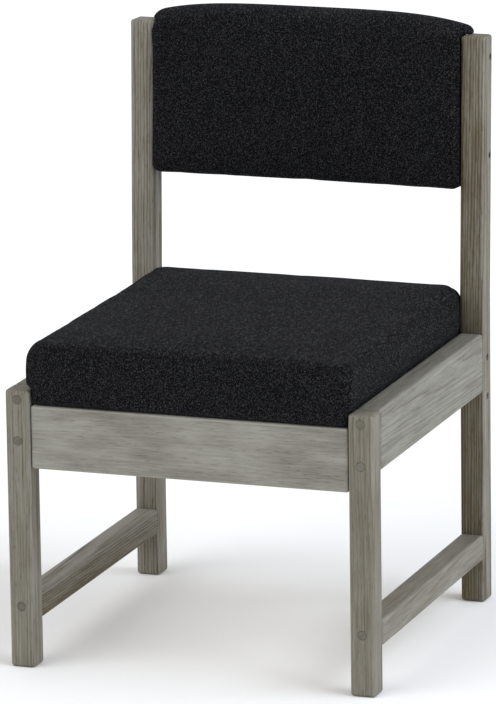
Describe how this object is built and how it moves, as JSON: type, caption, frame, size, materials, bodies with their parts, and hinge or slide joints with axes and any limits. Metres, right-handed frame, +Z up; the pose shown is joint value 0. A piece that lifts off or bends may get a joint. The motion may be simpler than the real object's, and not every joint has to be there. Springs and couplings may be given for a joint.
{
  "type": "dining side chair",
  "caption": "Armless wooden side chair with square legs, side rails and stretchers, a thick upholstered seat and an upholstered back panel held between leaning rear posts.",
  "frame": {"origin": "on the floor under the middle of the chair's outline", "axes": "+Z up; the chair faces -Y; +X is to the right of someone who looks at its front"},
  "size_m": [0.52, 0.5369, 0.8276],
  "materials": {
    "stained_wood": "grey stain, matt, open straight grain",
    "plug_wood": "grey stain on end grain",
    "bare_wood": "planed, unstained",
    "dowel_wood": "bare",
    "plywood": "bare",
    "foam": "open-cell cushion foam",
    "charcoal_fabric": "charcoal heather weave",
    "dark_steel": "blackened steel"
  },
  "bodies": {
    "root": {"back_board": "plywood", "back_cover": "charcoal_fabric", "back_foam": "foam", "back_screw_lower_left": "dark_steel", "back_screw_lower_right": "dark_steel", "back_screw_upper_left": "dark_steel", "back_screw_upper_right": "dark_steel", "cleat_screw_front_left": "dark_steel", "cleat_screw_front_right": "dark_steel", "cleat_screw_rear_left": "dark_steel", "cleat_screw_rear_right": "dark_steel", "front_apron": "stained_wood", "front_apron_dowel_lower_left": "dowel_wood", "front_apron_dowel_lower_right": "dowel_wood", "front_apron_dowel_upper_left": "dowel_wood", "front_apron_dowel_upper_right": "dowel_wood", "front_leg_left": "stained_wood", "front_leg_right": "stained_wood", "front_rail_lower_left_plug": "plug_wood", "front_rail_lower_left_screw": "dark_steel", "front_rail_lower_right_plug": "plug_wood", "front_rail_lower_right_screw": "dark_steel", "front_rail_upper_left_plug": "plug_wood", "front_rail_upper_left_screw": "dark_steel", "front_rail_upper_right_plug": "plug_wood", "front_rail_upper_right_screw": "dark_steel", "front_stretcher_left_plug": "plug_wood", "front_stretcher_left_screw": "dark_steel", "front_stretcher_right_plug": "plug_wood", "front_stretcher_right_screw": "dark_steel", "rear_apron": "stained_wood", "rear_apron_screw_lower_left": "dark_steel", "rear_apron_screw_lower_right": "dark_steel", "rear_apron_screw_upper_left": "dark_steel", "rear_apron_screw_upper_right": "dark_steel", "rear_post_left": "stained_wood", "rear_post_right": "stained_wood", "rear_rail_lower_left_screw": "dark_steel", "rear_rail_lower_right_screw": "dark_steel", "rear_rail_upper_left_screw": "dark_steel", "rear_rail_upper_right_screw": "dark_steel", "rear_stretcher_left_screw": "dark_steel", "rear_stretcher_right_screw": "dark_steel", "seat_board": "plywood", "seat_cleat_left": "bare_wood", "seat_cleat_right": "bare_wood", "seat_cover": "charcoal_fabric", "seat_foam": "foam", "seat_screw_front_left": "dark_steel", "seat_screw_front_right": "dark_steel", "seat_screw_rear_left": "dark_steel", "seat_screw_rear_right": "dark_steel", "side_rail_left": "stained_wood", "side_rail_right": "stained_wood", "side_stretcher_left": "stained_wood", "side_stretcher_right": "stained_wood"}
  },
  "joints": []
}
